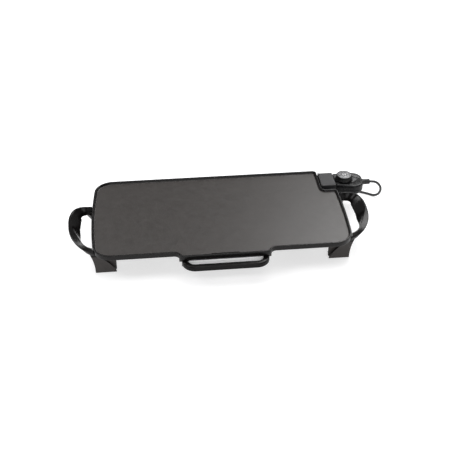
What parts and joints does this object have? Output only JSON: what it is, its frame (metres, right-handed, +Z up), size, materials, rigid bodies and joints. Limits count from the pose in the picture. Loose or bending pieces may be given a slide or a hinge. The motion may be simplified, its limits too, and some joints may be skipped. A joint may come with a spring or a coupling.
{
  "type": "electric griddle",
  "caption": "Electric griddle: wide non-stick plate with a low rim, pull-off end handles with feet, slide-out drip tray and a plug-in heat control with dial and cord.",
  "frame": {"origin": "on the table, below the middle of the whole griddle's box without its loose cord", "axes": "+X to the right as the user stands, towards the heat control; +Y to the back; +Z up"},
  "size_m": [0.7271, 0.4012, 0.0797],
  "materials": {
    "coated_casting": "dark non-stick coating, fine speckle, satin",
    "handle_plastic": "moulded black phenolic, semi-gloss",
    "control_plastic": "moulded black, fine satin grain",
    "knob_plastic": "black, glossy fluted side",
    "guard_plastic": "moulded dark grey, satin",
    "steel": "zinc plated",
    "element_sheath": "heat-darkened steel tube",
    "pin_metal": "nickel plated",
    "ceramic": "unglazed ceramic",
    "tray_metal": "black coated pressed steel",
    "bright_panel": "polished bright, soft reflections",
    "probe_metal": "drawn tube, satin",
    "dial_metal": "silver-grey printed dial",
    "smoke_lens": "smoky translucent window",
    "black_rubber": "matt black"
  },
  "bodies": {
    "griddle": {"griddle_plate": "coated_casting", "heating_element": "element_sheath", "element_clamps": "steel", "clamp_screws": "steel", "terminal_pins": "pin_metal", "terminal_bushings": "ceramic", "socket_guard": "guard_plastic", "guard_screws": "steel", "handle_brackets": "steel", "bracket_screws": "steel", "tray_rails": "steel", "rail_screws": "steel"},
    "left_end": {"left_handle": "handle_plastic", "left_latch": "steel", "left_foot_pads": "black_rubber"},
    "right_end": {"right_handle": "handle_plastic", "right_latch": "steel", "right_foot_pads": "black_rubber"},
    "tray": {"drip_tray": "tray_metal", "tray_faceplate": "bright_panel", "tray_grip": "handle_plastic", "grip_rivets": "steel"},
    "heat_control": {"control_base": "control_plastic", "control_cover": "control_plastic", "sensing_probe": "probe_metal", "contact_sockets": "pin_metal", "thermostat_switch": "ceramic", "pilot_lens": "smoke_lens", "housing_screws": "steel", "strain_relief": "black_rubber", "power_cord": "black_rubber", "cord_coil": "black_rubber", "cord_tie": "black_rubber", "plug_body": "black_rubber", "plug_blades": "pin_metal"},
    "dial": {"control_knob": "knob_plastic", "dial_face": "dial_metal", "knob_shaft": "steel"}
  },
  "joints": [
    {"name": "left_handle_slide", "type": "slide", "parent": "griddle", "child": "left_end", "axis": [-1, 0, 0], "range_m": [0, 0.07]},
    {"name": "right_handle_slide", "type": "slide", "parent": "griddle", "child": "right_end", "axis": [1, 0, 0], "range_m": [0, 0.07]},
    {"name": "tray_slide", "type": "slide", "parent": "griddle", "child": "tray", "axis": [0, -1, 0], "range_m": [0, 0.112]},
    {"name": "control_slide", "type": "slide", "parent": "griddle", "child": "heat_control", "axis": [1, 0, 0], "range_m": [0, 0.105]},
    {"name": "dial_turn", "type": "hinge", "parent": "heat_control", "child": "dial", "pos_m": [0.285, 0.11625, 0.074], "axis": [0, 0, -1], "range_deg": [0, 285]}
  ]
}
